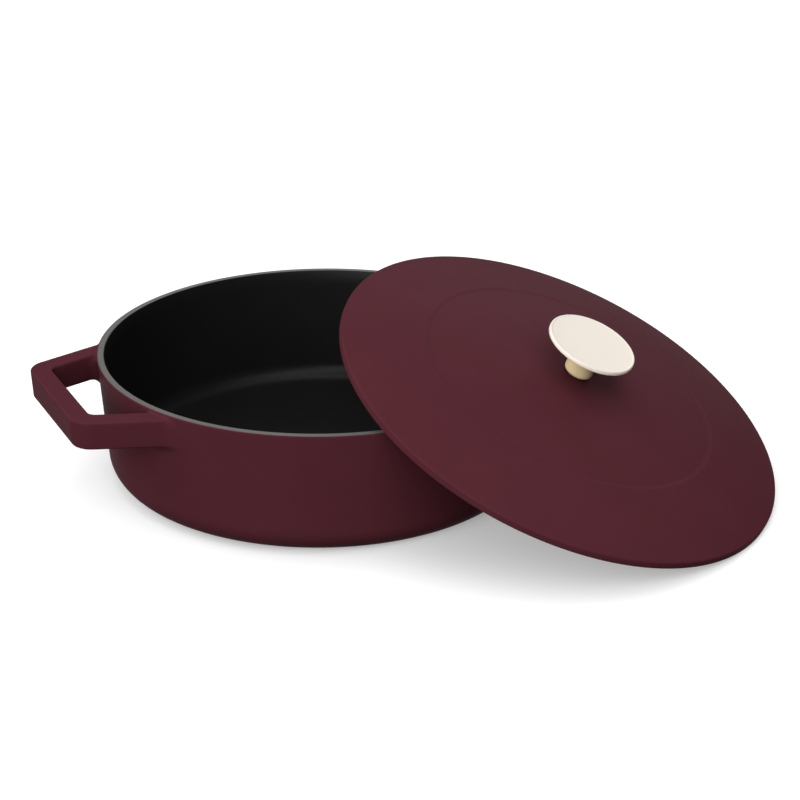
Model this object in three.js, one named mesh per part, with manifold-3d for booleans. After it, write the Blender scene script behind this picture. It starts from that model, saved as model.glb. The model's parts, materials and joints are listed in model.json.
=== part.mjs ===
// A shallow enamelled cast iron casserole with two loop handles, and its domed lid leaning
// against it, in millimetres with +Z up. The origin is the middle of the base, on the table,
// and the handles lie along X. Outer sizes are those of the finished enamelled surfaces.
import * as THREE from "three";
import { mergeVertices } from "three/addons/utils/BufferGeometryUtils.js";
import Module from "manifold-3d";

// Pot bowl
const MOUTH_RADIUS = 140.5;
const WALL = 4.8;
const POT_HEIGHT = 83.5;
const WALL_DRAFT = THREE.MathUtils.degToRad(4.5);
const FLOOR = 5.5;
const BASE_CORNER = 18.5;
const FLOOR_CORNER = 12;
const RIM_ROUND = 1;

// Enamel: each coat, the gap to its iron, and the band of iron left bare at rims and edges
const ENAMEL = 0.5;
const BOND_GAP = 0.3;
const BARE_BAND = 1.2;

// Loop handles, cast in one with the bowl
const HANDLE_STANDOFF = 38;
const HANDLE_DROP = 2.3;
const HANDLE_THICKNESS = 18.9;
const HANDLE_WIDTH = 100.8;
const HANDLE_SPLAY = THREE.MathUtils.degToRad(18.4);
const HANDLE_BAR = 13.3;
const HANDLE_ARM = 13.6;
const HANDLE_CORNER = 14.9;
const HANDLE_EYE_CORNER = 6;
const HANDLE_ROUND = 1.6;
const HANDLE_ROOT = 40;

// Lid, with z = 0 at the seat that closes on the rim
const LID_OVERHANG = 4.3;
const LID_EDGE = 4.6;
const LID_RISE = 23.4;
const LID_WALL = 4;
const LID_EDGE_ROUND = 2.6;
const RING_CLEARANCE = 1.5;
const RING_WIDTH = 4;
const RING_DEPTH = 3.3;
const STEP_RADIUS = 97;
const STEP_DROP = 0.6;
const STEP_RUN = 2.5;

// Knob and its fastening, along the lid's axis
const KNOB_RADIUS = 29.2;
const KNOB_HEIGHT = 23.6;
const KNOB_EDGE = 3.3;
const KNOB_DISH = 3.2;
const KNOB_THROAT = 8;
const KNOB_STEM_RADIUS = 9.2;
const KNOB_FOOT_RADIUS = 9.4;
const KNOB_FOOT_ROUND = 2.5;
const GASKET_RADIUS = 6.8;
const GASKET_THICKNESS = 0.8;
const SCREW_RADIUS = 3;
const SCREW_GRIP = 10;
const SCREW_HEAD_RADIUS = 5.6;
const SCREW_HEAD_HEIGHT = 3.6;
const SCREW_SLOT_WIDTH = 1.6;
const SCREW_SLOT_DEPTH = 1.8;
const PLAIN_WASHER_RADIUS = 9;
const PLAIN_WASHER_THICKNESS = 1.2;
const SPRING_WASHER_RADIUS = 5.4;
const SPRING_WASHER_THICKNESS = 1.5;
const SPRING_WASHER_SPLIT = 1.2;
const HOLE_CLEARANCE = 0.5;
const TAP_SPARE = 2;
const FIT = 0.3;

// How the lid leans: the way it slopes down, measured from +X, and how far round from its
// lowest point the front of the rim meets its locating ring
const LEAN_TURN = THREE.MathUtils.degToRad(-50.36);
const LEAN_RIM_ANGLE = THREE.MathUtils.degToRad(115.56);
const LEAN_GAP = 0.4;

// Steps of the faceted round surfaces, and how far a cutter runs past what it cuts
const BODY_STEPS = 48;
const SMALL_STEPS = 32;
const ARC_STEPS = 4;
const DOME_STEPS = 4;
const CUT_OVERRUN = 2;

const RIM_RADIUS = MOUTH_RADIUS + WALL;
const COAT = ENAMEL + BOND_GAP;
const COAT_TOP = POT_HEIGHT - BARE_BAND - BOND_GAP;
const HANDLE_REACH = RIM_RADIUS + HANDLE_STANDOFF;
const HANDLE_TOP = POT_HEIGHT - HANDLE_DROP;
const LID_RADIUS = RIM_RADIUS + LID_OVERHANG;
const RING_OUTER = MOUTH_RADIUS - RING_CLEARANCE;
const RING_INNER = RING_OUTER - RING_WIDTH;
const DOME_RADIUS = (LID_RADIUS ** 2 + LID_RISE ** 2) / (2 * LID_RISE);
const HOLE_RADIUS = SCREW_RADIUS + HOLE_CLEARANCE;

const wasm = await Module();
wasm.setup();

// Closed solid of a geometry: shared vertices merged, collapsed triangles left out
function solidOf(geometry) {
  const bare = new THREE.BufferGeometry();
  bare.setAttribute("position", geometry.getAttribute("position"));
  bare.setIndex(geometry.getIndex());
  const merged = mergeVertices(bare);
  const corners = merged.getIndex().array;
  const triVerts = [];
  for (let i = 0; i < corners.length; i += 3) {
    const [a, b, c] = corners.slice(i, i + 3);
    if (a !== b && b !== c && c !== a) {
      triVerts.push(a, b, c);
    }
  }
  return new wasm.Manifold(new wasm.Mesh({
    numProp: 3,
    vertProperties: merged.getAttribute("position").array,
    triVerts: Uint32Array.from(triVerts),
  }));
}

function geometryOf(solid) {
  const mesh = solid.getMesh();
  const geometry = new THREE.BufferGeometry();
  geometry.setAttribute("position", new THREE.BufferAttribute(mesh.vertProperties, 3));
  geometry.setIndex(new THREE.BufferAttribute(mesh.triVerts, 1));
  geometry.computeVertexNormals();
  return geometry;
}

// Solid turned about Z from a closed outline of [radius, height] points, given counterclockwise
function turned(outline, steps) {
  const points = outline.map(([radius, height]) => new THREE.Vector2(radius, height));
  points.push(points[0].clone());
  return solidOf(new THREE.LatheGeometry(points, steps).rotateX(Math.PI / 2));
}

function cylinder(radius, bottom, top, steps) {
  return turned([[0, bottom], [radius, bottom], [radius, top], [0, top]], steps);
}

function tube(inner, outer, bottom, top, steps) {
  return turned([[inner, bottom], [outer, bottom], [outer, top], [inner, top]], steps);
}

function box(width, depth, height, x, y, z) {
  return solidOf(new THREE.BoxGeometry(width, depth, height).translate(x, y, z));
}

// Points of an arc about (radius, height), from one angle to the other
function arc(centerRadius, centerHeight, size, from, to, steps = ARC_STEPS) {
  const points = [];
  for (let i = 0; i <= steps; i += 1) {
    const angle = from + ((to - from) * i) / steps;
    points.push([centerRadius + size * Math.cos(angle), centerHeight + size * Math.sin(angle)]);
  }
  return points;
}

// Bowl: wall lines with the draft, and corner arcs tangent to wall and floor. An offset of a
// surface by the coat keeps the corner's centre, so coats and iron stay parallel.
const outerWall = (z) => RIM_RADIUS - (POT_HEIGHT - z) * Math.tan(WALL_DRAFT);
const innerWall = (z) => MOUTH_RADIUS - (POT_HEIGHT - z) * Math.tan(WALL_DRAFT);
const BASE_FLAT = outerWall(BASE_CORNER) - BASE_CORNER / Math.cos(WALL_DRAFT);
const FLOOR_ARC_HEIGHT = FLOOR + FLOOR_CORNER;
const FLOOR_FLAT = innerWall(FLOOR_ARC_HEIGHT) - FLOOR_CORNER / Math.cos(WALL_DRAFT);

function bowlOutside(inset, top) {
  return [
    [0, inset],
    ...arc(BASE_FLAT, BASE_CORNER, BASE_CORNER - inset, -Math.PI / 2, -WALL_DRAFT),
    [outerWall(top) - inset / Math.cos(WALL_DRAFT), top],
  ];
}

function bowlInside(outset, top) {
  return [
    [0, FLOOR - outset],
    ...arc(FLOOR_FLAT, FLOOR_ARC_HEIGHT, FLOOR_CORNER + outset, -Math.PI / 2, -WALL_DRAFT),
    [innerWall(top) + outset / Math.cos(WALL_DRAFT), top],
  ];
}

const filled = (outline) => turned([...outline, [0, outline.at(-1)[1]]], BODY_STEPS);

// Outline in plan with each corner of [x, y, radius] rounded
function roundedOutline(corners) {
  const shape = new THREE.Shape();
  corners.forEach(([x, y, radius], i) => {
    const corner = new THREE.Vector2(x, y);
    const before = new THREE.Vector2(...corners.at(i - 1)).sub(corner).normalize();
    const after = new THREE.Vector2(...corners[(i + 1) % corners.length]).sub(corner).normalize();
    const half = Math.acos(THREE.MathUtils.clamp(before.dot(after), -1, 1)) / 2;
    const setback = radius / Math.tan(half);
    const start = corner.clone().addScaledVector(before, setback);
    const end = corner.clone().addScaledVector(after, setback);
    if (i === 0) {
      shape.moveTo(start.x, start.y);
    } else {
      shape.lineTo(start.x, start.y);
    }
    if (radius > 0) {
      shape.quadraticCurveTo(x, y, end.x, end.y);
    }
  });
  return shape;
}

// Loop handle on +X or -X: a bar and two arms that splay towards the bowl and run into it
function loopHandle(side, inset) {
  const root = MOUTH_RADIUS - HANDLE_ROOT;
  const splay = Math.tan(HANDLE_SPLAY);
  const halfOuter = HANDLE_WIDTH / 2;
  const armAcross = HANDLE_ARM / Math.cos(HANDLE_SPLAY);
  const outerAt = (x) => halfOuter + (HANDLE_REACH - x) * splay;
  const eyeAt = (x) => outerAt(x) - armAcross;
  const eyeEnd = HANDLE_REACH - HANDLE_BAR;
  const outline = roundedOutline([
    [root, -outerAt(root), 0],
    [HANDLE_REACH, -halfOuter, HANDLE_CORNER],
    [HANDLE_REACH, halfOuter, HANDLE_CORNER],
    [root, outerAt(root), 0],
    [root, eyeAt(root), 0],
    [eyeEnd, eyeAt(eyeEnd), HANDLE_EYE_CORNER],
    [eyeEnd, -eyeAt(eyeEnd), HANDLE_EYE_CORNER],
    [root, -eyeAt(root), 0],
  ]);
  const geometry = new THREE.ExtrudeGeometry(outline, {
    depth: HANDLE_THICKNESS - 2 * HANDLE_ROUND,
    curveSegments: ARC_STEPS,
    bevelThickness: HANDLE_ROUND - inset,
    bevelSize: HANDLE_ROUND - inset,
    bevelOffset: -HANDLE_ROUND,
    bevelSegments: 2,
  });
  geometry.translate(0, 0, HANDLE_TOP - HANDLE_THICKNESS + HANDLE_ROUND);
  if (side < 0) {
    geometry.rotateZ(Math.PI);
  }
  return solidOf(geometry);
}

const outsideWithHandles = (inset, top) =>
  filled(bowlOutside(inset, top)).add(loopHandle(1, inset)).add(loopHandle(-1, inset));

// Iron of the pot: bare across the rim, and set back under the enamel everywhere else
function potCasting() {
  const bareBottom = POT_HEIGHT - BARE_BAND;
  const rim = turned([
    [MOUTH_RADIUS, bareBottom],
    [RIM_RADIUS, bareBottom],
    ...arc(RIM_RADIUS - RIM_ROUND, POT_HEIGHT - RIM_ROUND, RIM_ROUND, 0, Math.PI / 2, 2),
    ...arc(MOUTH_RADIUS + RIM_ROUND, POT_HEIGHT - RIM_ROUND, RIM_ROUND, Math.PI / 2, Math.PI, 2),
  ], BODY_STEPS);
  const wallTop = POT_HEIGHT - BARE_BAND / 2;
  return outsideWithHandles(COAT, wallTop)
    .subtract(filled(bowlInside(COAT, POT_HEIGHT + CUT_OVERRUN)))
    .add(rim);
}

function potOuterEnamel() {
  const base = cylinder(RIM_RADIUS, -CUT_OVERRUN, COAT, BODY_STEPS);
  return outsideWithHandles(0, COAT_TOP)
    .subtract(outsideWithHandles(ENAMEL, COAT_TOP + CUT_OVERRUN))
    .subtract(base);
}

const potInnerEnamel = () =>
  turned([...bowlInside(ENAMEL, COAT_TOP), ...bowlInside(0, COAT_TOP).reverse()], BODY_STEPS);

const potBaseEnamel = () => cylinder(BASE_FLAT, 0, ENAMEL, BODY_STEPS);

// Lid surfaces: a spherical dome, stepped down inside a circle on top and smooth underneath
const dome = (radius) =>
  LID_EDGE + LID_RISE - DOME_RADIUS + Math.sqrt(DOME_RADIUS ** 2 - radius ** 2);
const lidUnder = (radius) => dome(radius) - LID_WALL;
const LID_TOP = dome(0) - STEP_DROP;
const LID_UNDER = lidUnder(0);

function spread(from, to, steps) {
  return Array.from({ length: steps + 1 }, (_, i) => from + ((to - from) * i) / steps);
}

// Top of the lid from the edge's side in to the screw hole, set back by the inset
function lidOutside(inset, bottom) {
  const shoulder = LID_RADIUS - LID_EDGE_ROUND;
  const edgeTop = dome(shoulder) - LID_EDGE_ROUND;
  const side = LID_RADIUS - inset;
  return [
    [side, bottom],
    ...arc(shoulder, edgeTop, LID_EDGE_ROUND - inset, 0, Math.PI / 2, 3),
    ...spread(shoulder, STEP_RADIUS + STEP_RUN, DOME_STEPS).slice(1).map((r) => [r, dome(r) - inset]),
    ...spread(STEP_RADIUS, HOLE_RADIUS, DOME_STEPS).map((r) => [r, dome(r) - STEP_DROP - inset]),
  ];
}

// Underside from the screw hole out to the inner face of the locating ring and down it
function lidInside(outset, bottom) {
  const face = RING_INNER + outset;
  return [
    ...spread(HOLE_RADIUS, face, DOME_STEPS + 2).map((r) => [r, lidUnder(r) + outset]),
    [face, bottom],
  ];
}

function lidCasting() {
  const ringBottom = -RING_DEPTH;
  const bareTop = ringBottom + BARE_BAND;
  return turned([
    [RING_INNER, ringBottom],
    [RING_OUTER, ringBottom],
    [RING_OUTER, 0],
    [LID_RADIUS, 0],
    [LID_RADIUS, BARE_BAND],
    ...lidOutside(COAT, BARE_BAND),
    ...lidInside(COAT, bareTop),
    [RING_INNER, bareTop],
  ], BODY_STEPS);
}

function lidOuterEnamel() {
  const bottom = BARE_BAND + BOND_GAP;
  return turned([...lidOutside(0, bottom), ...lidOutside(ENAMEL, bottom).reverse()], BODY_STEPS);
}

function lidInnerEnamel() {
  const bottom = BARE_BAND + BOND_GAP - RING_DEPTH;
  return turned([...lidInside(0, bottom), ...lidInside(ENAMEL, bottom).reverse()], BODY_STEPS);
}

// Stack of the fastening: upwards from the lid's top, and downwards from its underside
const GASKET_BOTTOM = LID_TOP + FIT;
const KNOB_FOOT = GASKET_BOTTOM + GASKET_THICKNESS + FIT;
const PLAIN_WASHER_TOP = LID_UNDER - FIT;
const SPRING_WASHER_TOP = PLAIN_WASHER_TOP - PLAIN_WASHER_THICKNESS - FIT;
const HEAD_TOP = SPRING_WASHER_TOP - SPRING_WASHER_THICKNESS - FIT;

// Knob: a thin flat disc on a short stem that flares under it, tapped from its foot
function lidKnob() {
  const top = KNOB_FOOT + KNOB_HEIGHT;
  const tapRadius = SCREW_RADIUS + FIT;
  const tapTop = KNOB_FOOT + SCREW_GRIP + TAP_SPARE;
  const dishBottom = top - KNOB_EDGE - KNOB_DISH;
  const throat = KNOB_STEM_RADIUS + KNOB_THROAT;
  const edge = KNOB_EDGE / 2;
  const footFlat = KNOB_FOOT_RADIUS - KNOB_FOOT_ROUND;
  return turned([
    [0, tapTop],
    [tapRadius, tapTop],
    [tapRadius, KNOB_FOOT],
    ...arc(footFlat, KNOB_FOOT + KNOB_FOOT_ROUND, KNOB_FOOT_ROUND, -Math.PI / 2, 0, 2),
    ...arc(throat, dishBottom - KNOB_THROAT, KNOB_THROAT, Math.PI, Math.PI / 2),
    ...arc(KNOB_RADIUS - edge, top - edge, edge, -Math.PI / 2, Math.PI / 2),
    [0, top],
  ], SMALL_STEPS);
}

const knobGasket = () =>
  tube(HOLE_RADIUS, GASKET_RADIUS, GASKET_BOTTOM, GASKET_BOTTOM + GASKET_THICKNESS, SMALL_STEPS);

function knobScrew() {
  const headBottom = HEAD_TOP - SCREW_HEAD_HEIGHT;
  const slotHeight = SCREW_SLOT_DEPTH + CUT_OVERRUN;
  const slotLength = 2 * (SCREW_HEAD_RADIUS + CUT_OVERRUN);
  const slotMiddle = headBottom + SCREW_SLOT_DEPTH - slotHeight / 2;
  return turned([
    [0, headBottom],
    ...arc(0, HEAD_TOP, SCREW_HEAD_RADIUS, -Math.PI / 2, 0)
      .slice(1)
      .map(([r, z]) => [r, HEAD_TOP - ((HEAD_TOP - z) / SCREW_HEAD_RADIUS) * SCREW_HEAD_HEIGHT]),
    [SCREW_RADIUS, HEAD_TOP],
    [SCREW_RADIUS, KNOB_FOOT + SCREW_GRIP],
    [0, KNOB_FOOT + SCREW_GRIP],
  ], SMALL_STEPS).subtract(box(slotLength, SCREW_SLOT_WIDTH, slotHeight, 0, 0, slotMiddle));
}

const plainWasher = () => tube(HOLE_RADIUS, PLAIN_WASHER_RADIUS,
  PLAIN_WASHER_TOP - PLAIN_WASHER_THICKNESS, PLAIN_WASHER_TOP, SMALL_STEPS);

function springWasher() {
  const bottom = SPRING_WASHER_TOP - SPRING_WASHER_THICKNESS;
  const ring = tube(HOLE_RADIUS, SPRING_WASHER_RADIUS, bottom, SPRING_WASHER_TOP, SMALL_STEPS);
  const length = SPRING_WASHER_RADIUS + CUT_OVERRUN;
  const height = SPRING_WASHER_THICKNESS + 2 * CUT_OVERRUN;
  const middle = bottom + SPRING_WASHER_THICKNESS / 2;
  return ring.subtract(box(length, SPRING_WASHER_SPLIT, height, length / 2, 0, middle));
}

// The lid rests with its low edge on the table, and the lower inner edge of its locating ring
// on the front of the rim and on the outer edge of the right handle. The tilt brings the ring
// to the rim's height at LEAN_RIM_ANGLE, and the two contacts then place its centre.
function leaningLid() {
  const ringDrop = RING_DEPTH + LEAN_GAP;
  const lift = LID_RADIUS - RING_INNER * Math.cos(LEAN_RIM_ANGLE);
  const tilt = Math.asin(POT_HEIGHT / Math.hypot(lift, ringDrop)) + Math.atan2(ringDrop, lift);
  const height = LID_RADIUS * Math.sin(tilt);
  const down = new THREE.Vector2(Math.cos(LEAN_TURN), Math.sin(LEAN_TURN));
  const across = new THREE.Vector2(-down.y, down.x);
  const ringPoint = (angle) => down.clone()
    .multiplyScalar(RING_INNER * Math.cos(angle) * Math.cos(tilt) - ringDrop * Math.sin(tilt))
    .addScaledVector(across, RING_INNER * Math.sin(angle));
  const ringHeight = height - ringDrop * Math.cos(tilt);
  const handleAngle = Math.acos((ringHeight - HANDLE_TOP) / (RING_INNER * Math.sin(tilt)));
  const atRim = ringPoint(-LEAN_RIM_ANGLE);
  const atHandle = ringPoint(handleAngle);
  const x = HANDLE_REACH - HANDLE_ROUND - atHandle.x;
  const rimX = x + atRim.x;
  const y = -Math.sqrt((RIM_RADIUS - RIM_ROUND) ** 2 - rimX ** 2) - atRim.y;
  const group = new THREE.Group();
  group.position.set(x, y, height);
  group.rotation.set(0, tilt, LEAN_TURN, "ZYX");
  return group;
}

const castIron = { color: 0x777472, roughness: 0.6, metalness: 0.6 };
const burgundyEnamel = { color: 0x4a202a, roughness: 0.45, metalness: 0 };
const blackEnamel = { color: 0x101010, roughness: 0.6, metalness: 0 };
const creamCoating = { color: 0xeee6db, roughness: 0.3, metalness: 0 };
const brightSteel = { color: 0xb8b8b8, roughness: 0.3, metalness: 1 };
const heatProofFibre = { color: 0x3a3633, roughness: 0.9, metalness: 0 };

function addPiece(group, name, solid, finish) {
  const mesh = new THREE.Mesh(geometryOf(solid), new THREE.MeshStandardMaterial(finish));
  mesh.name = name;
  group.add(mesh);
}

const casserole = new THREE.Group();
addPiece(casserole, "pot_casting", potCasting(), castIron);
addPiece(casserole, "pot_outer_enamel", potOuterEnamel(), burgundyEnamel);
addPiece(casserole, "pot_inner_enamel", potInnerEnamel(), blackEnamel);
addPiece(casserole, "pot_base_enamel", potBaseEnamel(), blackEnamel);

const lid = leaningLid();
addPiece(lid, "lid_casting", lidCasting(), castIron);
addPiece(lid, "lid_outer_enamel", lidOuterEnamel(), burgundyEnamel);
addPiece(lid, "lid_inner_enamel", lidInnerEnamel(), blackEnamel);
addPiece(lid, "lid_knob", lidKnob(), creamCoating);
addPiece(lid, "knob_gasket", knobGasket(), heatProofFibre);
addPiece(lid, "knob_screw", knobScrew(), brightSteel);
addPiece(lid, "spring_washer", springWasher(), brightSteel);
addPiece(lid, "plain_washer", plainWasher(), brightSteel);
casserole.add(lid);

export default casserole;
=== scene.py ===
import json
import math

import bmesh
import bpy
import numpy as np
from mathutils import Matrix, Vector


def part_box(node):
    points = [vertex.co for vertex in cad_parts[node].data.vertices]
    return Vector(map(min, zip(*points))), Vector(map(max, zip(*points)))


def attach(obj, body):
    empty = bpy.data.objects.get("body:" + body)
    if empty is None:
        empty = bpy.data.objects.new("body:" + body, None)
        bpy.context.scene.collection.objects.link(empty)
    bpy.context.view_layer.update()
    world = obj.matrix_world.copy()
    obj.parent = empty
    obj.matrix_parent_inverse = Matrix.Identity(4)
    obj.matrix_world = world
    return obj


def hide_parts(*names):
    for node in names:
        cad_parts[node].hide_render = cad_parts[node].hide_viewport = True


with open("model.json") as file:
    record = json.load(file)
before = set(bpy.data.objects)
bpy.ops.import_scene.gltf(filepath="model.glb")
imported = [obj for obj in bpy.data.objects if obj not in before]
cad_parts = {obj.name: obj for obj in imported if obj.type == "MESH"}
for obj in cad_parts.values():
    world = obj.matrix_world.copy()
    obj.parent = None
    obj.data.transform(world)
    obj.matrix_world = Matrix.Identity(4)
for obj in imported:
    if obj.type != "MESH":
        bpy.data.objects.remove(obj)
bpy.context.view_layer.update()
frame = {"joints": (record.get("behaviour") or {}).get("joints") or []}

# Pot casting: bowl and both loop handles, poured in one piece of grey iron. Enamel hides all of
# it but the rim, which is ground flat after firing and stays bare, with dark pores and the fine
# circular scratches of the wheel. Shapes are in millimetres here, and pieces in metres.
RIM_RADIUS = 1000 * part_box("pot_casting")[1].y
POT_HEIGHT = 1000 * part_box("pot_casting")[1].z
WALL = 4.8
DRAFT = math.radians(4.5)
FLOOR = 5.5
BASE_CORNER = 18.5
FLOOR_CORNER = 12
RIM_ROUND = 0.5
COAT = 0.8
MOUTH_RADIUS = RIM_RADIUS - WALL


def outer_wall(height):
    return RIM_RADIUS - (POT_HEIGHT - height) * math.tan(DRAFT)


def inner_wall(height):
    return MOUTH_RADIUS - (POT_HEIGHT - height) * math.tan(DRAFT)


BASE_FLAT = outer_wall(BASE_CORNER) - BASE_CORNER / math.cos(DRAFT)
FLOOR_FLAT = inner_wall(FLOOR + FLOOR_CORNER) - FLOOR_CORNER / math.cos(DRAFT)


def arc(radius, height, size, start, stop, steps):
    """Points of an arc about (radius, height), between two angles in degrees."""
    angles = np.radians(np.linspace(start, stop, steps + 1))
    return [(radius + size * math.cos(a), height + size * math.sin(a)) for a in angles]


def bowl_outside(inset, heights):
    """Outline from the middle of the base out and up the wall, set back by the inset."""
    corner = arc(BASE_FLAT, BASE_CORNER, BASE_CORNER - inset, -90, -math.degrees(DRAFT), 16)
    setback = inset / math.cos(DRAFT)
    return [(0, inset), *corner, *[(outer_wall(h) - setback, h) for h in heights]]


def bowl_inside(outset, heights):
    """Outline from the middle of the floor out and up the inner wall, sunk by the outset."""
    size = FLOOR_CORNER + outset
    corner = arc(FLOOR_FLAT, FLOOR + FLOOR_CORNER, size, -90, -math.degrees(DRAFT), 16)
    setback = outset / math.cos(DRAFT)
    return [(0, FLOOR - outset), *corner, *[(inner_wall(h) + setback, h) for h in heights]]


# The bowl's steps round the axis are finer where the handles' arms run into the wall
quarter = [*np.arange(0, 15, 1.5), *np.arange(15, 34, 0.4), *np.arange(34.5, 90, 1.5)]
BOWL_TURNS = np.radians(sorted(
    {round(a % 360, 4) for q in quarter for a in (q, 180 - q, 180 + q, 360 - q)}))


def turned(outline, turns):
    """Closed shape of an outline of (radius, height) points spun about Z: points and faces."""
    angles = np.linspace(0, 2 * math.pi, turns, endpoint=False) if isinstance(turns, int) else turns
    count = len(angles)
    points, rings, faces = [], [], []
    for radius, height in outline:
        if radius < 1e-6:
            rings.append([len(points)] * count)
            points.append((0, 0, height))
        else:
            rings.append(range(len(points), len(points) + count))
            points += [(radius * math.cos(a), radius * math.sin(a), height) for a in angles]
    for low, high in zip(rings, rings[1:] + rings[:1]):
        for j in range(count):
            k = (j + 1) % count
            face = list(dict.fromkeys((low[j], low[k], high[k], high[j])))
            if len(face) > 2:
                faces.append(face)
    return points, faces


SPECK = 0.0005


def mesh_of(shape, speck=0):
    """Mesh of a closed shape, with its faces looking outwards and without faces of speck size."""
    mesh = bpy.data.meshes.new("shape")
    mesh.from_pydata(shape[0], [], shape[1])
    edit = bmesh.new()
    edit.from_mesh(mesh)
    if speck:
        bmesh.ops.triangulate(edit, faces=[f for f in edit.faces if len(f.verts) > 4])
        bmesh.ops.dissolve_degenerate(edit, dist=speck, edges=edit.edges)
    bmesh.ops.recalc_face_normals(edit, faces=edit.faces)
    edit.to_mesh(mesh)
    edit.free()
    return mesh


def combined(first, operation, second):
    """Two closed shapes joined, or the second cut from the first."""
    shapes = [bpy.data.objects.new("shape", mesh_of(shape)) for shape in (first, second)]
    for shape in shapes:
        bpy.context.scene.collection.objects.link(shape)
    step = shapes[0].modifiers.new("combine", "BOOLEAN")
    step.operation = operation
    step.solver = "MANIFOLD"
    step.object = shapes[1]
    result = shapes[0].evaluated_get(bpy.context.evaluated_depsgraph_get()).to_mesh()
    points = [tuple(v.co) for v in result.vertices]
    faces = [tuple(p.vertices) for p in result.polygons]
    for shape in shapes:
        mesh = shape.data
        bpy.data.objects.remove(shape)
        bpy.data.meshes.remove(mesh)
    return points, faces


HANDLE_REACH = 1000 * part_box("pot_outer_enamel")[1].x
HANDLE_DROP = 2.3
HANDLE_TOP = POT_HEIGHT - HANDLE_DROP
HANDLE_THICKNESS = 18.9
HANDLE_HALF = 50.4
HANDLE_SPLAY = math.radians(18.4)
HANDLE_BAR = 13.3
ARM_WIDTH = 13.6
HANDLE_ARM = ARM_WIDTH / math.cos(HANDLE_SPLAY)
HANDLE_CORNER = 14.9
HANDLE_EYE_CORNER = 6
HANDLE_ROUND = 1.6
OUTER_DRAW = 1.2
EYE_DRAW = 2.9
HANDLE_ROOT = 112
HANDLE_EYE_END = HANDLE_REACH - HANDLE_BAR
CORE_STEPS = 40
COAT_STEPS = 70


def handle_edge(end, half, corner, arm_steps):
    """Half of one edge of the handle in plan: up the arm, round the corner, along the bar."""
    turn = math.pi / 2 - HANDLE_SPLAY
    setback = corner * math.tan(turn / 2)
    start = end - setback * math.cos(HANDLE_SPLAY)
    arm = [(x, half + (end - x) * math.tan(HANDLE_SPLAY))
           for x in np.linspace(HANDLE_ROOT, start, arm_steps, endpoint=False)]
    round_x = end - corner
    round_y = half - setback
    bend = [(round_x + corner * math.cos(a), round_y + corner * math.sin(a))
            for a in np.linspace(turn, 0, 17)]
    bar = [(end, y) for y in np.linspace(round_y, 0, 15)[1:]]
    return np.array(arm + bend + bar)


def handle_edges(arm_steps):
    eye_half = HANDLE_HALF + HANDLE_BAR * math.tan(HANDLE_SPLAY) - HANDLE_ARM
    return (handle_edge(HANDLE_REACH, HANDLE_HALF, HANDLE_CORNER, arm_steps),
            handle_edge(HANDLE_EYE_END, eye_half, HANDLE_EYE_CORNER, arm_steps))


def rounded_section(width, inset):
    """Section of the handle as (across, height) points, from its outer face towards the eye. It
    narrows downwards, as it was drawn out of the sand."""
    size = HANDLE_ROUND - inset
    low, high = HANDLE_TOP - HANDLE_THICKNESS + HANDLE_ROUND, HANDLE_TOP - HANDLE_ROUND
    near, far = HANDLE_ROUND, width - HANDLE_ROUND
    sides = ((near + OUTER_DRAW, low, 180, 270), (far - EYE_DRAW, low, 270, 360),
             (far, high, 0, 90), (near, high, 90, 180))
    section = []
    for (across, height, start, stop), following in zip(sides, sides[1:] + sides[:1]):
        section += arc(across, height, size, start, stop, 5)
        ahead = arc(*following[:2], size, following[2], following[2], 0)[0]
        section += [tuple(p) for p in np.linspace(section[-1], ahead, 9)[1:-1]]
    return section


def loop_handle(side, inset, arm_steps):
    """Closed loft of the whole handle on +X or -X, through sections across bar and arms."""
    outer, eye = handle_edges(arm_steps)
    mirror = np.array((1, -1))
    outer = np.vstack((outer * mirror, outer[-2::-1]))
    eye = np.vstack((eye * mirror, eye[-2::-1]))
    points, rings, faces = [], [], []
    for start, stop in zip(outer, eye):
        width = np.linalg.norm(stop - start)
        along = (stop - start) / width
        ring = [(*(side * (start + along * across)), height)
                for across, height in rounded_section(width, inset)]
        rings.append(range(len(points), len(points) + len(ring)))
        points += ring
    for low, high in zip(rings, rings[1:]):
        count = len(low)
        faces += [(low[j], low[(j + 1) % count], high[(j + 1) % count], high[j])
                  for j in range(count)]
    faces += [tuple(rings[0]), tuple(rings[-1])]
    return points, faces


OUTER_EDGE, EYE_EDGE = handle_edges(2)


def edge_distance(x, y, edge):
    """Distance in plan from an edge of the handle, less than 0 on the bowl's side of it."""
    at = np.stack((x, y), 1)[:, None, :]
    start, step = edge[:-1], np.diff(edge, axis=0)
    share = np.clip(((at - start) * step).sum(2) / (step ** 2).sum(1), 0, 1)
    nearest = np.linalg.norm(at - start - share[..., None] * step, axis=2).min(1)
    within = (x < edge[-1, 0]) & (y < np.interp(x, edge[:, 0], edge[:, 1]))
    return np.where(within, -nearest, nearest)


def handle_distance(points):
    """Distance of points from the handles' surface, less than 0 inside them."""
    x, y, z = np.abs(points[:, 0]), np.abs(points[:, 1]), points[:, 2]
    depth = np.clip((HANDLE_TOP - z) / HANDLE_THICKNESS, 0, 1)
    across = np.maximum(edge_distance(x, y, OUTER_EDGE) + OUTER_DRAW * depth,
                        EYE_DRAW * depth - edge_distance(x, y, EYE_EDGE)) + HANDLE_ROUND
    middle = HANDLE_TOP - HANDLE_THICKNESS / 2
    upright = np.abs(z - middle) - HANDLE_THICKNESS / 2 + HANDLE_ROUND
    beyond = np.hypot(np.maximum(across, 0), np.maximum(upright, 0))
    return np.minimum(np.maximum(across, upright), 0) + beyond - HANDLE_ROUND


def wall_distance(points):
    wall = RIM_RADIUS - (POT_HEIGHT - points[:, 2]) * math.tan(DRAFT)
    return (np.hypot(points[:, 0], points[:, 1]) - wall) * math.cos(DRAFT)


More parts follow.
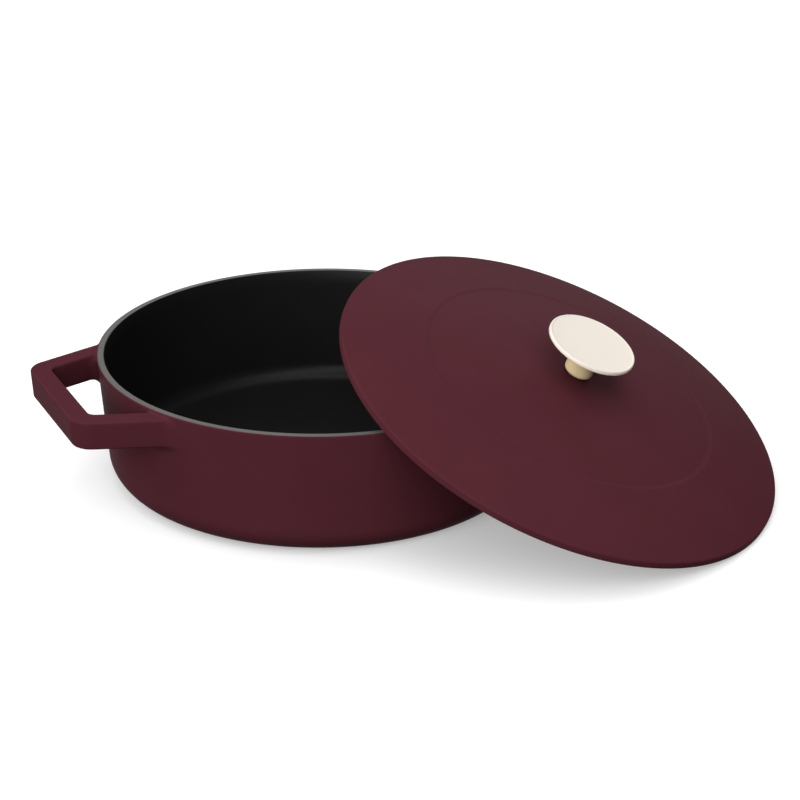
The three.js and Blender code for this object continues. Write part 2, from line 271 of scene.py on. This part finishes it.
ARM_FILLET = 4.5
EYE_FILLET = 8
TOP_FILLET = 2.2
TOP_FILLET_BLEND = 5
FILLET_REACH = 7
UNDER_RIM = 2
NEAR_SURFACE = 1.2
PROBE = 0.01
LEAST_SLOPE = 0.25
DRAW_STEPS = 5


def smooth(share):
    share = np.clip(share, 0, 1)
    return share * share * (3 - 2 * share)


def filleted_distance(points):
    """Distance from wall and handles together, with a fillet in the corner between them that is
    larger towards the eye and smaller on top."""
    from_eye = edge_distance(np.abs(points[:, 0]), np.abs(points[:, 1]), EYE_EDGE)
    side = EYE_FILLET + (ARM_FILLET - EYE_FILLET) * smooth(from_eye / HANDLE_ARM)
    below_top = smooth((HANDLE_TOP - points[:, 2]) / TOP_FILLET_BLEND)
    fillet = TOP_FILLET + (side - TOP_FILLET) * below_top
    wall, handle = wall_distance(points), handle_distance(points)
    corner = np.hypot(np.maximum(fillet - wall, 0), np.maximum(fillet - handle, 0))
    return np.maximum(fillet, np.minimum(wall, handle)) - corner


def cast_on(shape, depth):
    """Shape with its points on and near the handles drawn to that depth under the cast surface."""
    points = np.array(shape[0])
    middle = HANDLE_TOP - HANDLE_THICKNESS / 2
    level = np.abs(points[:, 2] - middle) < HANDLE_THICKNESS / 2 + FILLET_REACH
    beside = (np.abs(points[:, 0]) > HANDLE_ROOT) & level & (points[:, 2] < POT_HEIGHT - UNDER_RIM)
    near = np.flatnonzero(beside)
    handle = handle_distance(points[near]) + depth
    surface = np.minimum(wall_distance(points[near]) + depth, handle)
    near = near[(np.abs(surface) < NEAR_SURFACE) & (handle < 2 * EYE_FILLET)]
    moved = points[near]
    for _ in range(DRAW_STEPS):
        over = filleted_distance(moved) + depth
        slope = np.stack([filleted_distance(moved + n) - filleted_distance(moved - n)
                          for n in PROBE * np.eye(3)], 1) / (2 * PROBE)
        steepness = np.maximum((slope ** 2).sum(1), LEAST_SLOPE)
        moved = moved - (over / steepness)[:, None] * slope
    points[near] = moved
    return points.tolist(), shape[1]


def piece(name, shape, place=None, crease=35):
    """Mesh object of a shape in millimetres, placed in the row frame in metres. Its points keep
    their own coordinates in millimetres as the attribute that the finishes are drawn by."""
    mesh = mesh_of(shape, SPECK)
    mesh.name = name
    local = np.empty(3 * len(mesh.vertices), np.float32)
    mesh.vertices.foreach_get("co", local)
    mesh.attributes.new("local", "FLOAT_VECTOR", "POINT").data.foreach_set("vector", local)
    mesh.transform((place or Matrix.Identity(4)) @ Matrix.Scale(0.001, 4))
    mesh.shade_smooth()
    mesh.set_sharp_from_angle(angle=math.radians(crease))
    made = bpy.data.objects.new(name, mesh)
    bpy.context.scene.collection.objects.link(made)
    return made


def dress(made, material, body, node):
    """The piece takes its finish and slot, stands for its solid and rides on its body."""
    made.data.materials.append(material)
    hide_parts(node)
    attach(made, body)


class Finish:
    """A material under construction: its nodes are drawn by the pieces' own millimetres."""

    def __init__(self, name, **settings):
        self.material = bpy.data.materials.new(name)
        self.material.use_nodes = True
        self.tree = self.material.node_tree
        self.surface = self.tree.nodes["Principled BSDF"]
        for socket, value in settings.items():
            self.surface.inputs[socket.replace("_", " ")].default_value = value
        self.local = self.node("ShaderNodeAttribute", attribute_name="local").outputs["Vector"]

    def node(self, kind, inputs=None, **settings):
        made = self.tree.nodes.new(kind)
        for key, value in settings.items():
            setattr(made, key, value)
        for key, value in (inputs or {}).items():
            if isinstance(value, bpy.types.NodeSocket):
                self.tree.links.new(value, made.inputs[key])
            else:
                made.inputs[key].default_value = value
        return made

    def noise(self, size, detail=2.0, rough=0.5):
        """Cloudy pattern with features of about that size in millimetres."""
        return self.node("ShaderNodeTexNoise", {
            "Vector": self.local, "Scale": 1 / size, "Detail": detail, "Roughness": rough,
        }).outputs["Fac"]

    def radius(self):
        """Distance from the piece's own axis, in millimetres."""
        flat = self.node("ShaderNodeVectorMath", {0: self.local, 1: (1, 1, 0)}, operation="MULTIPLY")
        return self.node("ShaderNodeVectorMath", {0: flat.outputs["Vector"]},
                         operation="LENGTH").outputs["Value"]

    def height(self):
        """Height along the piece's own axis, in millimetres."""
        return self.node("ShaderNodeSeparateXYZ", {"Vector": self.local}).outputs["Z"]

    def rings(self, width):
        """Uneven circular scratches of about that width."""
        return self.node("ShaderNodeTexNoise", {
            "W": self.radius(), "Scale": 1 / width, "Detail": 3.0,
        }, noise_dimensions="1D").outputs["Fac"]

    def between(self, value, low, high, first, last):
        """The value's span from low to high spread over first to last."""
        return self.node("ShaderNodeMapRange", {
            "Value": value, "From Min": low, "From Max": high, "To Min": first, "To Max": last,
        }).outputs["Result"]

    def mix(self, share, first, second, blend="MIX"):
        mixed = self.node("ShaderNodeMix", data_type="RGBA", blend_type=blend)
        for socket, value in zip((mixed.inputs[0], mixed.inputs[6], mixed.inputs[7]),
                                 (share, first, second)):
            if isinstance(value, bpy.types.NodeSocket):
                self.tree.links.new(value, socket)
            else:
                socket.default_value = value
        return mixed.outputs[2]

    def add(self, first, second):
        return self.node("ShaderNodeMath", {0: first, 1: second}, operation="ADD").outputs["Value"]

    def times(self, first, second):
        return self.node("ShaderNodeMath", {0: first, 1: second},
                         operation="MULTIPLY").outputs["Value"]

    def relief(self, height, depth, strength=1.0):
        """Fine relief, whose height of 1 stands that many millimetres high."""
        bump = self.node("ShaderNodeBump", {
            "Height": height, "Distance": depth / 1000, "Strength": strength})
        self.tree.links.new(bump.outputs["Normal"], self.surface.inputs["Normal"])

    def colour(self, value):
        self.tree.links.new(value, self.surface.inputs["Base Color"])

    def roughness(self, value):
        self.tree.links.new(value, self.surface.inputs["Roughness"])


GROUND_IRON = (0.15, 0.146, 0.142, 1)
DULL_IRON = (0.122, 0.119, 0.116, 1)
BRIGHT_SCRATCH = (0.22, 0.216, 0.21, 1)
DARK_EDGE = (0.05, 0.047, 0.046, 1)
DARK_PORE = (0.05, 0.048, 0.046, 1)
iron = Finish("ground_grey_iron", Metallic=0.35, Specular_IOR_Level=0.3)
pores = iron.between(iron.noise(0.5, 3.0, 0.6), 0.56, 0.68, 0, 1)
scratches = iron.rings(0.25)
tone = iron.mix(iron.noise(9), GROUND_IRON, DULL_IRON)
tone = iron.mix(iron.between(scratches, 0.35, 0.65, 0, 0.3), tone, BRIGHT_SCRATCH)
outer_edge = iron.between(iron.radius(), RIM_RADIUS - 1.3, RIM_RADIUS - RIM_ROUND, 0, 0.45)
tone = iron.mix(outer_edge, tone, DARK_EDGE)
iron.colour(iron.mix(iron.times(pores, 0.7), tone, DARK_PORE))
iron.roughness(iron.between(scratches, 0.3, 0.7, 0.45, 0.65))
iron.relief(iron.add(scratches, iron.times(pores, -1.5)), 0.02)

# Rows up the wall are closer together where the handles' arms run into it
wall_heights = [*np.arange(20, 56, 4), *np.arange(56, 81.4, 0.8)]
RIM_BEVEL = 0.1
COAT_DROP = 0.15
NECK_DROP = 1
coat_top = POT_HEIGHT - COAT_DROP
rim_neck = POT_HEIGHT - NECK_DROP
rim_outer = RIM_RADIUS - RIM_ROUND
rim_inner = MOUTH_RADIUS + RIM_ROUND
bowl = turned([
    *bowl_outside(COAT, wall_heights),
    (rim_outer, rim_neck), (rim_outer, coat_top), (rim_outer - RIM_BEVEL, POT_HEIGHT),
    (rim_inner, POT_HEIGHT), (rim_inner, rim_neck),
    *bowl_inside(COAT, (40, POT_HEIGHT - UNDER_RIM))[::-1],
], BOWL_TURNS)
hollow = turned([*bowl_inside(2 * COAT, (POT_HEIGHT,)), (0, POT_HEIGHT)], BOWL_TURNS)
for side in (1, -1):
    core = combined(loop_handle(side, COAT, CORE_STEPS), "DIFFERENCE", hollow)
    bowl = combined(bowl, "UNION", core)
pot_iron = piece("pot_iron", cast_on(bowl, COAT))
dress(pot_iron, iron.material, "pot", "pot_casting")

# Outer enamel of the pot: a burgundy satin glass coat fired onto the wall and both handles in
# one skin. It turns over the outer edge of the rim up to the ground band, and wraps round the
# base's corner.
COAT_GAP = 0.02
COAT_SKIN = COAT - COAT_GAP
COAT_WRAP = 2.5
BASE_TRIM = BASE_FLAT + COAT_WRAP
TRIM_TOP = 1.4
# Shapes that cut others run this far past them
OVERSHOOT = 2

coat_edge = arc(rim_outer, coat_top - RIM_ROUND, RIM_ROUND, 0, 90, 5)
outside = turned([*bowl_outside(0, wall_heights), *coat_edge, (0, coat_top)], BOWL_TURNS)
inside = turned([
    *bowl_outside(COAT_SKIN, wall_heights),
    (rim_outer + COAT_GAP, rim_neck),
    (rim_outer + COAT_GAP, POT_HEIGHT + OVERSHOOT), (0, POT_HEIGHT + OVERSHOOT),
], BOWL_TURNS)
for side in (1, -1):
    outside = combined(outside, "UNION", loop_handle(side, 0, COAT_STEPS))
    inside = combined(inside, "UNION", loop_handle(side, COAT_SKIN, CORE_STEPS))
skin = combined(cast_on(outside, 0), "DIFFERENCE", cast_on(inside, COAT_SKIN))
trim = turned([
    (0, -OVERSHOOT), (BASE_TRIM, -OVERSHOOT), (BASE_TRIM, TRIM_TOP), (0, TRIM_TOP),
], BOWL_TURNS)
skin = combined(skin, "DIFFERENCE", trim)

BURGUNDY = (0.0775, 0.0186, 0.0260, 1)
CLOUD_TINTS = (0.93, 0.92, 0.94, 1), (1.07, 1.09, 1.06, 1)
GRAIN_TINTS = (0.95, 0.94, 0.94, 1), (1.05, 1.06, 1.06, 1)
burgundy = Finish("burgundy_enamel", Specular_IOR_Level=0.008)
cloud = burgundy.mix(burgundy.noise(38), *CLOUD_TINTS)
grain = burgundy.mix(burgundy.noise(0.7, 3.0), *GRAIN_TINTS)
clouded = burgundy.mix(1.0, cloud, BURGUNDY, "MULTIPLY")
burgundy.colour(burgundy.mix(1.0, clouded, grain, "MULTIPLY"))
burgundy.roughness(burgundy.between(burgundy.noise(1.6, 3.0), 0.3, 0.7, 0.28, 0.38))
peel = burgundy.noise(4.5, 1.0)
burgundy.relief(burgundy.add(peel, burgundy.times(burgundy.noise(0.8, 2.0), 0.05)), 0.025)

pot_outer = piece("pot_outer_enamel_coat", skin)
dress(pot_outer, burgundy.material, "pot", "pot_outer_enamel")

# Inner enamel of the pot: a matt black coat over wall, corner and floor, fired after the outside
# one. It is a little rough to hold oil, and turns over the rim's inner edge up to the ground band.
LINING_TURNS = 240
lining_rows = np.arange(24, 80, 7)
lining_top = POT_HEIGHT - RIM_ROUND
lining = turned([
    *bowl_inside(COAT_SKIN, (*lining_rows, POT_HEIGHT - 1.8)),
    (rim_inner - COAT_GAP, POT_HEIGHT - 0.8),
    *arc(rim_inner, lining_top, RIM_ROUND, 94, 170, 5),
    *bowl_inside(0, (*lining_rows, lining_top))[::-1],
], LINING_TURNS)

DEEP_BLACK = (0.0062, 0.0062, 0.0062, 1)
SOFT_BLACK = (0.0078, 0.0078, 0.0077, 1)
GREY_SPECK = (0.012, 0.012, 0.012, 1)
black = Finish("matt_black_enamel", Specular_IOR_Level=0.1)
soot = black.mix(black.noise(25), DEEP_BLACK, SOFT_BLACK)
speck = black.between(black.noise(0.45, 2.0), 0.64, 0.72, 0, 0.5)
black.colour(black.mix(speck, soot, GREY_SPECK))
black.roughness(black.between(black.noise(1.2, 3.0), 0.3, 0.7, 0.3, 0.42))
black.relief(black.add(black.noise(3.0, 1.0), black.times(black.noise(0.5, 2.0), 0.25)), 0.03)

pot_lining = piece("pot_inner_enamel_coat", lining)
dress(pot_lining, black.material, "pot", "pot_inner_enamel")

# Base enamel of the pot: the black coat of the flat underside, the face that it stands on, with
# its edge feathered round under the burgundy.
BASE_COAT = 0.5
BASE_GAP = 0.1
base_radius = BASE_TRIM - BASE_GAP
lift = BASE_CORNER - math.sqrt(BASE_CORNER ** 2 - (base_radius - BASE_FLAT) ** 2)
base = turned([
    (0, 0), (BASE_FLAT, 0), ((BASE_FLAT + base_radius) / 2, lift / 4), (base_radius, lift),
    (base_radius, BASE_COAT), (0, BASE_COAT),
], LINING_TURNS)
pot_base = piece("pot_base_enamel_coat", base)
dress(pot_base, black.material, "pot", "pot_base_enamel")

# Lid casting: a shallow iron dome with a flat bare seat for the rim, a ring inside the seat that
# keeps the lid in place, and a hole in the middle for the knob's screw. It leans on the pot,
# so its own axis and place come from the joint that the knob turns on.
knob_turn = next(j for j in frame["joints"] if j["name"] == "knob_turn")
lid_axis = Vector(knob_turn["axis"]).normalized()
LID_AXIS_POINT = 0.037
heading = math.atan2(lid_axis.y, lid_axis.x)
lid_place = (Matrix.Translation(Vector(knob_turn["pos_m"]) - LID_AXIS_POINT * lid_axis)
             @ Matrix.Rotation(heading, 4, "Z") @ Matrix.Rotation(math.acos(lid_axis.z), 4, "Y"))
LID_OVERHANG = 4.3
LID_RADIUS = RIM_RADIUS + LID_OVERHANG
LID_EDGE = 4.6
LID_RISE = 23.4
LID_WALL = 4
LID_EDGE_ROUND = 1.5
RING_PLAY = 1.5
RING_WIDTH = 4
RING_OUTER = MOUTH_RADIUS - RING_PLAY
RING_INNER = RING_OUTER - RING_WIDTH
RING_DEPTH = 3.3
RING_BARE = 1.2
RING_CORNER = 3
CORNER_START = 2.6
CORNER_SINK = 0.35
HOLE_RADIUS = 3.5
STEP_RADIUS = 95
STEP_RUN = 4
STEP_DROP = 0.5
DOME_RADIUS = (LID_RADIUS ** 2 + LID_RISE ** 2) / (2 * LID_RISE)
LID_TURNS = 288


def dome(radius):
    return LID_EDGE + LID_RISE - DOME_RADIUS + math.sqrt(DOME_RADIUS ** 2 - radius ** 2)


def stepped_dome(radius):
    """Top of the lid, a little lower inside the circle, with a soft step round it."""
    return dome(radius) - STEP_DROP * (1 - smooth((radius - STEP_RADIUS) / STEP_RUN))


def lid_outside(inset, bottom):
    """Outline up the lid's side, over its rounded edge and in to the hole."""
    shoulder = LID_RADIUS - LID_EDGE_ROUND
    lean = math.degrees(math.asin(shoulder / DOME_RADIUS))
    edge_top = dome(shoulder) - LID_EDGE_ROUND * math.cos(math.radians(lean))
    edge_middle = shoulder - LID_EDGE_ROUND * math.sin(math.radians(lean)) * 0.5
    edge = arc(shoulder, edge_top, LID_EDGE_ROUND - inset, 0, 90 - lean, 7)
    step = np.linspace(STEP_RADIUS + STEP_RUN + 0.5, STEP_RADIUS - 0.5, 15)
    radii = [*np.linspace(edge_middle, step[0] + 1, 14)[1:], *step,
             *np.linspace(step[-1] - 3, HOLE_RADIUS, 18)]
    top = [(r, stepped_dome(r) - inset) for r in radii]
    return [(LID_RADIUS - inset, bottom), *edge, *top]


def lid_inside(outset, bottom):
    """Outline from the hole out under the dome, round the corner and down the ring's inside."""
    face = RING_INNER + outset
    corner = RING_CORNER - outset
    radii = np.linspace(HOLE_RADIUS, face - CORNER_START, 24)
    under = [(r, dome(r) - LID_WALL + outset) for r in radii]
    low = under[-1][1] - CORNER_SINK - corner
    return [*under, *arc(face - corner, low, corner, 70, 0, 5), (face, bottom)]


ring_bottom = -RING_DEPTH
ring_band = ring_bottom + RING_BARE
lid_iron_shape = turned([
    *arc(RING_INNER + 0.5, ring_bottom + 0.5, 0.5, 180, 270, 3),
    *arc(RING_OUTER - 0.8, ring_bottom + 0.8, 0.8, 270, 360, 4),
    (RING_OUTER, 0), (LID_RADIUS - COAT, 0),
    *lid_outside(COAT, 0.4), *lid_inside(COAT, ring_band), (RING_INNER, ring_band),
], LID_TURNS)
lid_iron = piece("lid_iron", lid_iron_shape, lid_place)
dress(lid_iron, iron.material, "lid", "lid_casting")

# Outer enamel of the lid: the same burgundy coat over dome and edge, down to the bare seat. A low
# step runs round the dome in a circle and shows through the coat as a faint soft line.
seat_edge = arc(LID_RADIUS - 0.5, 0.55, 0.5, -90, 0, 4)
lid_coat = turned([
    (LID_RADIUS - COAT_SKIN, 0.05), *seat_edge,
    *lid_outside(0, 1.2), *lid_outside(COAT_SKIN, 0.05)[:0:-1],
], LID_TURNS)
lid_outer = piece("lid_outer_enamel_coat", lid_coat, lid_place)
dress(lid_outer, burgundy.material, "lid", "lid_outer_enamel")

# Inner enamel of the lid: the matt black coat under the dome, fired with the pot's own lining. It
# runs from the screw's hole out and down the inside of the ring, to the ring's bare foot.
lining_end = ring_band + COAT_GAP
lid_lining = turned([
    *lid_inside(0, lining_end), *lid_inside(COAT_SKIN, lining_end)[::-1],
], LID_TURNS)
lid_inner = piece("lid_inner_enamel_coat", lid_lining, lid_place)
dress(lid_inner, black.material, "lid", "lid_inner_enamel")

# Gasket: a thin washer of dark heat-proof fibre under the knob's foot, so that the screw can be
# drawn tight without chipping the enamel.
CLEARANCE = 0.3
GASKET_THICKNESS = 0.8
GASKET_BOTTOM = dome(0) - CLEARANCE
GASKET_TOP = GASKET_BOTTOM + GASKET_THICKNESS
GASKET_RADIUS = 6.8
WASHER_ROUND = 0.2
SMALL_TURNS = 96


def washer(inner, outer, bottom, top):
    """Flat ring with rounded edges."""
    edge = WASHER_ROUND
    return turned([
        *arc(inner + edge, bottom + edge, edge, 180, 270, 3),
        *arc(outer - edge, bottom + edge, edge, 270, 360, 3),
        *arc(outer - edge, top - edge, edge, 0, 90, 3),
        *arc(inner + edge, top - edge, edge, 90, 180, 3),
    ], SMALL_TURNS)


DARK_FIBRE = (0.022, 0.02, 0.018, 1)
WORN_FIBRE = (0.06, 0.055, 0.05, 1)
fibre = Finish("heat_proof_fibre", Roughness=0.9, Specular_IOR_Level=0.2)
fibre.colour(fibre.mix(fibre.noise(0.5, 4.0), DARK_FIBRE, WORN_FIBRE))
fibre.relief(fibre.noise(0.3, 3.0), 0.05)
gasket = piece("knob_gasket_ring",
               washer(HOLE_RADIUS, GASKET_RADIUS, GASKET_BOTTOM, GASKET_TOP), lid_place)
dress(gasket, fibre.material, "lid", "knob_gasket")

# Knob: die-cast metal with a smooth cream coating. A thin flat disc, with a rounded lip over a fine
# groove round its edge, flares underneath into a short round stem, tapped from below for the screw.
KNOB_FOOT = GASKET_TOP + CLEARANCE
KNOB_RADIUS = 28.9
KNOB_HEIGHT = 23.2
KNOB_EDGE = 2.8
KNOB_DISH = 3.2
KNOB_THROAT = 8
KNOB_STEM = 9.2
KNOB_FOOT_RADIUS = 9.4
FOOT_ROUND = 2.5
TAP_RADIUS = 3.3
TAP_DEPTH = 12
KNOB_LIP = 0.25
KNOB_TOP_RING = 14
LIP_RUN = 1.3
LIP_SETBACK = 0.1
EDGE_ROUND = 0.7
GROOVE = 0.25
KNOB_TURNS = 160

knob_top = KNOB_FOOT + KNOB_HEIGHT
dish_bottom = knob_top - KNOB_EDGE - KNOB_DISH
throat = KNOB_STEM + KNOB_THROAT
waist = [(KNOB_STEM + 0.2, KNOB_FOOT + 5), (KNOB_STEM + 0.03, KNOB_FOOT + 6.5)]
flare = arc(throat, dish_bottom - KNOB_THROAT, KNOB_THROAT, 180, 90, 14)
edge_radius = KNOB_RADIUS - EDGE_ROUND
under = [(r, dish_bottom + KNOB_DISH * ((r - throat) / (edge_radius - throat)) ** 1.15)
         for r in np.linspace(throat, edge_radius, 9)[1:-1]]
band_top = knob_top - EDGE_ROUND - 2 * GROOVE
lip_radius = edge_radius - LIP_SETBACK
lip = [(r, knob_top - KNOB_LIP * smooth((lip_radius - r) / LIP_RUN))
       for r in np.linspace(lip_radius, lip_radius - LIP_RUN, 7)[1:]]
knob_shape = turned([
    (0, KNOB_FOOT + TAP_DEPTH), (TAP_RADIUS, KNOB_FOOT + TAP_DEPTH - 1.5),
    (TAP_RADIUS, KNOB_FOOT + 0.6), (TAP_RADIUS + 0.6, KNOB_FOOT),
    *arc(KNOB_FOOT_RADIUS - FOOT_ROUND, KNOB_FOOT + FOOT_ROUND, FOOT_ROUND, 270, 370, 9),
    *waist, *flare, *under,
    *arc(edge_radius, knob_top - KNOB_EDGE + EDGE_ROUND, EDGE_ROUND, -70, 0, 6),
    (KNOB_RADIUS, band_top), (KNOB_RADIUS - GROOVE, band_top + GROOVE),
    *arc(lip_radius, knob_top - EDGE_ROUND, EDGE_ROUND, 0, 90, 7),
    *lip, (KNOB_TOP_RING, knob_top - KNOB_LIP), (0, knob_top - KNOB_LIP),
], KNOB_TURNS)

# Painted shade: the coating is drawn darker and yellower on the stem under the disc, where the disc
# shades it
PALE_CREAM = (0.80, 0.735, 0.645, 1), (0.825, 0.76, 0.675, 1)
SHADED_CREAM = (0.73, 0.58, 0.32, 1), (0.77, 0.61, 0.35, 1)
cream = Finish("cream_coating", Specular_IOR_Level=0.3)
pale = cream.mix(cream.noise(3.0, 3.0), *PALE_CREAM)
shaded_stem = cream.mix(cream.noise(3.0, 3.0), *SHADED_CREAM)
# Share of the painted shade, from just under the disc's top down onto the stem
below = cream.between(cream.height(), knob_top - 1.4, knob_top - 5, 0, 1)
cream.colour(cream.mix(below, pale, shaded_stem))
cream.roughness(cream.between(cream.noise(0.9, 2.0), 0.3, 0.7, 0.32, 0.44))
cream.relief(cream.noise(1.6, 2.0), 0.012)
knob = piece("lid_knob_cream", knob_shape, lid_place)
dress(knob, cream.material, "knob", "lid_knob")

# Plain washer: a ring stamped from zinc-plated steel sheet. It lies against the enamel under the lid
# and spreads the screw's pull, so that the coat round the hole doesn't crack.
PLAIN_TOP = dome(0) - LID_WALL - CLEARANCE
PLAIN_RADIUS = 9
PLAIN_THICKNESS = 1.2
PLAIN_BOTTOM = PLAIN_TOP - PLAIN_THICKNESS
DULL_ZINC = (0.50, 0.50, 0.51, 1)
BRIGHT_ZINC = (0.62, 0.62, 0.63, 1)
steel = Finish("bright_zinc_plate", Metallic=1.0)
steel.colour(steel.mix(steel.noise(1.5, 3.0), DULL_ZINC, BRIGHT_ZINC))
steel.roughness(steel.between(steel.noise(0.4, 3.0), 0.3, 0.7, 0.26, 0.42))
steel.relief(steel.rings(0.12), 0.006)
plain_washer = piece("plain_washer_steel",
                     washer(HOLE_RADIUS, PLAIN_RADIUS, PLAIN_BOTTOM, PLAIN_TOP), lid_place)
dress(plain_washer, steel.material, "screw", "plain_washer")

# Spring washer: one turn of square steel wire, cut through and set slightly open, between plain
# washer and screw head, so that the knob doesn't work loose in the heat.
SPRING_TOP = PLAIN_BOTTOM - CLEARANCE
SPRING_OUTER = 5.4
SPRING_HEIGHT = 1.5
SPRING_SET = 0.12
HALF_CUT = 0.6
SPRING_STEPS = 65
wire_bottom = SPRING_SET - SPRING_HEIGHT
wire = ((HOLE_RADIUS, wire_bottom), (SPRING_OUTER, wire_bottom), (SPRING_OUTER, 0), (HOLE_RADIUS, 0))
split = math.asin(HALF_CUT / SPRING_OUTER)
sweep = np.linspace(split, 2 * math.pi - split, SPRING_STEPS)
points, faces = [], []
for turn, angle in zip(np.linspace(0, 1, SPRING_STEPS), sweep):
    level = SPRING_TOP - SPRING_SET * turn
    points += [(r * math.cos(angle), r * math.sin(angle), level + h) for r, h in wire]
for i in range(0, len(points) - 4, 4):
    faces += [(i + j, i + (j + 1) % 4, i + 4 + (j + 1) % 4, i + 4 + j) for j in range(4)]
faces += [(0, 1, 2, 3), tuple(range(len(points) - 4, len(points)))]
spring_washer = piece("spring_washer_steel", (points, faces), lid_place)
dress(spring_washer, steel.material, "screw", "spring_washer")

# Screw: a slotted pan head machine screw of zinc-plated steel, up through the lid into the knob,
# with its thread rolled on the length that the knob grips.
HEAD_TOP = SPRING_TOP - SPRING_HEIGHT - CLEARANCE
HEAD_HEIGHT = 3.6
HEAD_RADIUS = 5.6
SCREW_RADIUS = 3
SCREW_GRIP = 10
SCREW_TIP = KNOB_FOOT + SCREW_GRIP
SCREW_TURNS = 48
PITCH = 1.0
THREAD_DEPTH = 0.5
THREAD_END = SCREW_TIP - 0.8
SLOT_HALF = 0.8
SLOT_DEPTH = 1.8
head_bottom = HEAD_TOP - HEAD_HEIGHT
head = [(HEAD_RADIUS * math.sin(a), HEAD_TOP - 0.5 - (HEAD_HEIGHT - 0.5) * math.cos(a))
        for a in np.linspace(0, math.pi / 2, 9)]
rows = [*head, (HEAD_RADIUS, HEAD_TOP - 0.2), (HEAD_RADIUS - 0.2, HEAD_TOP), (SCREW_RADIUS, HEAD_TOP),
        *[(SCREW_RADIUS, h) for h in np.arange(HEAD_TOP + 1, THREAD_END, PITCH / 8)],
        (SCREW_RADIUS - 0.1, SCREW_TIP - 0.7), (SCREW_RADIUS - 0.7, SCREW_TIP), (0, SCREW_TIP)]
points, faces = turned(rows, SCREW_TURNS)
thread_start = KNOB_FOOT - 2
threaded = []
for x, y, z in points:
    radius = math.hypot(x, y)
    depth = 0
    if radius > SCREW_RADIUS - 0.05 and thread_start < z < THREAD_END:
        turn = ((z - thread_start) / PITCH - math.atan2(y, x) / (2 * math.pi)) % 1
        fade = min(z - thread_start, THREAD_END - z, 1)
        depth = THREAD_DEPTH * (1 - abs(2 * turn - 1)) * fade
    shrink = 1 - depth / radius if radius else 1
    threaded.append((x * shrink, y * shrink, z))
slot_reach = HEAD_RADIUS + OVERSHOOT
slot_corners = [(x, y, z) for z in (head_bottom - OVERSHOOT, head_bottom + SLOT_DEPTH)
                for y in (-SLOT_HALF, SLOT_HALF) for x in (-slot_reach, slot_reach)]
slot_faces = [(0, 1, 3, 2), (4, 5, 7, 6), (0, 1, 5, 4), (2, 3, 7, 6), (0, 2, 6, 4), (1, 3, 7, 5)]
screw_shape = combined((threaded, faces), "DIFFERENCE", (slot_corners, slot_faces))
screw = piece("knob_screw_steel", screw_shape, lid_place)
dress(screw, steel.material, "screw", "knob_screw")

# Studio: a plain near-white floor, six large soft boxes round the table and over it, and the camera
# of the photograph.
scene = bpy.context.scene
scene.view_settings.view_transform = "Standard"
STUDIO_RADIUS = 8
STUDIO_SIDES = 64
UNDER_POT = -0.0002
floor_mesh = bpy.data.meshes.new("studio_floor")
floor_edge = [(STUDIO_RADIUS * math.cos(a), STUDIO_RADIUS * math.sin(a), UNDER_POT)
              for a in np.linspace(0, 2 * math.pi, STUDIO_SIDES, endpoint=False)]
floor_mesh.from_pydata(floor_edge, [], [tuple(range(STUDIO_SIDES))])
floor_finish = Finish("studio_floor", Roughness=1.0, Specular_IOR_Level=0.0, Emission_Strength=0.3,
                      Base_Color=(0.8, 0.8, 0.8, 1), Emission_Color=(1, 1, 1, 1))
floor_mesh.materials.append(floor_finish.material)
floor = bpy.data.objects.new("studio_floor", floor_mesh)
floor.visible_diffuse = False
floor.visible_glossy = False
scene.collection.objects.link(floor)

# Soft boxes as bright patches of the surroundings: degrees round from +X and up, and strength
SOFT_BOXES = {
    "low_left": (210, 12, 4.35),
    "front_left": (240, 30, 3.4),
    "front_high": (270, 50, 3.09),
    "overhead": (0, 90, 2.88),
    "back_left": (135, 30, 4.11),
    "back_right": (45, 30, 1.75),
}
SOFT_BOX_FADE = 16
world = bpy.data.worlds.new("studio_surroundings")
world.use_nodes = True
sky = world.node_tree
away = sky.nodes.new("ShaderNodeTexCoord")
backdrop = sky.nodes["Background"]
backdrop.inputs["Color"].default_value = (1, 1, 1, 1)


def sky_math(operation, first, second):
    node = sky.nodes.new("ShaderNodeMath")
    node.operation = operation
    for socket, value in zip(node.inputs, (first, second)):
        if isinstance(value, bpy.types.NodeSocket):
            sky.links.new(value, socket)
        else:
            socket.default_value = value
    return node.outputs["Value"]


glow = None
for round_degrees, up_degrees, strength in SOFT_BOXES.values():
    turn, rise = math.radians(round_degrees), math.radians(up_degrees)
    facing = sky.nodes.new("ShaderNodeVectorMath")
    facing.operation = "DOT_PRODUCT"
    facing.inputs[1].default_value = (
        math.cos(rise) * math.cos(turn), math.cos(rise) * math.sin(turn), math.sin(rise))
    sky.links.new(away.outputs["Generated"], facing.inputs[0])
    patch = sky_math("POWER", sky_math("MAXIMUM", facing.outputs["Value"], 0), SOFT_BOX_FADE)
    patch = sky_math("MULTIPLY", patch, strength)
    glow = patch if glow is None else sky_math("ADD", glow, patch)

# The backdrop behind the table is plain white, and the glaze mirrors the table as a pale grey
TABLE_MIRRORED = 0.3
ray = sky.nodes.new("ShaderNodeLightPath").outputs
upright = sky.nodes.new("ShaderNodeSeparateXYZ")
sky.links.new(away.outputs["Generated"], upright.inputs["Vector"])
table = sky_math("MULTIPLY", sky_math("LESS_THAN", upright.outputs["Z"], 0), TABLE_MIRRORED)
glow = sky_math("ADD", glow, sky_math("MULTIPLY", table, ray["Is Glossy Ray"]))
sky.links.new(sky_math("MAXIMUM", glow, ray["Is Camera Ray"]), backdrop.inputs["Strength"])
scene.world = world

CAMERA_PLACE = (-0.59047, -1.45235, 0.71523)
CAMERA_AIM = Vector((0.37366, 0.84012, -0.39314))
camera = bpy.data.cameras.new("camera")
camera.lens = 117.22
camera.sensor_width = 36
camera_object = bpy.data.objects.new("camera", camera)
camera_object.location = CAMERA_PLACE
camera_object.rotation_euler = CAMERA_AIM.to_track_quat("-Z", "Y").to_euler()
scene.collection.objects.link(camera_object)
scene.camera = camera_object
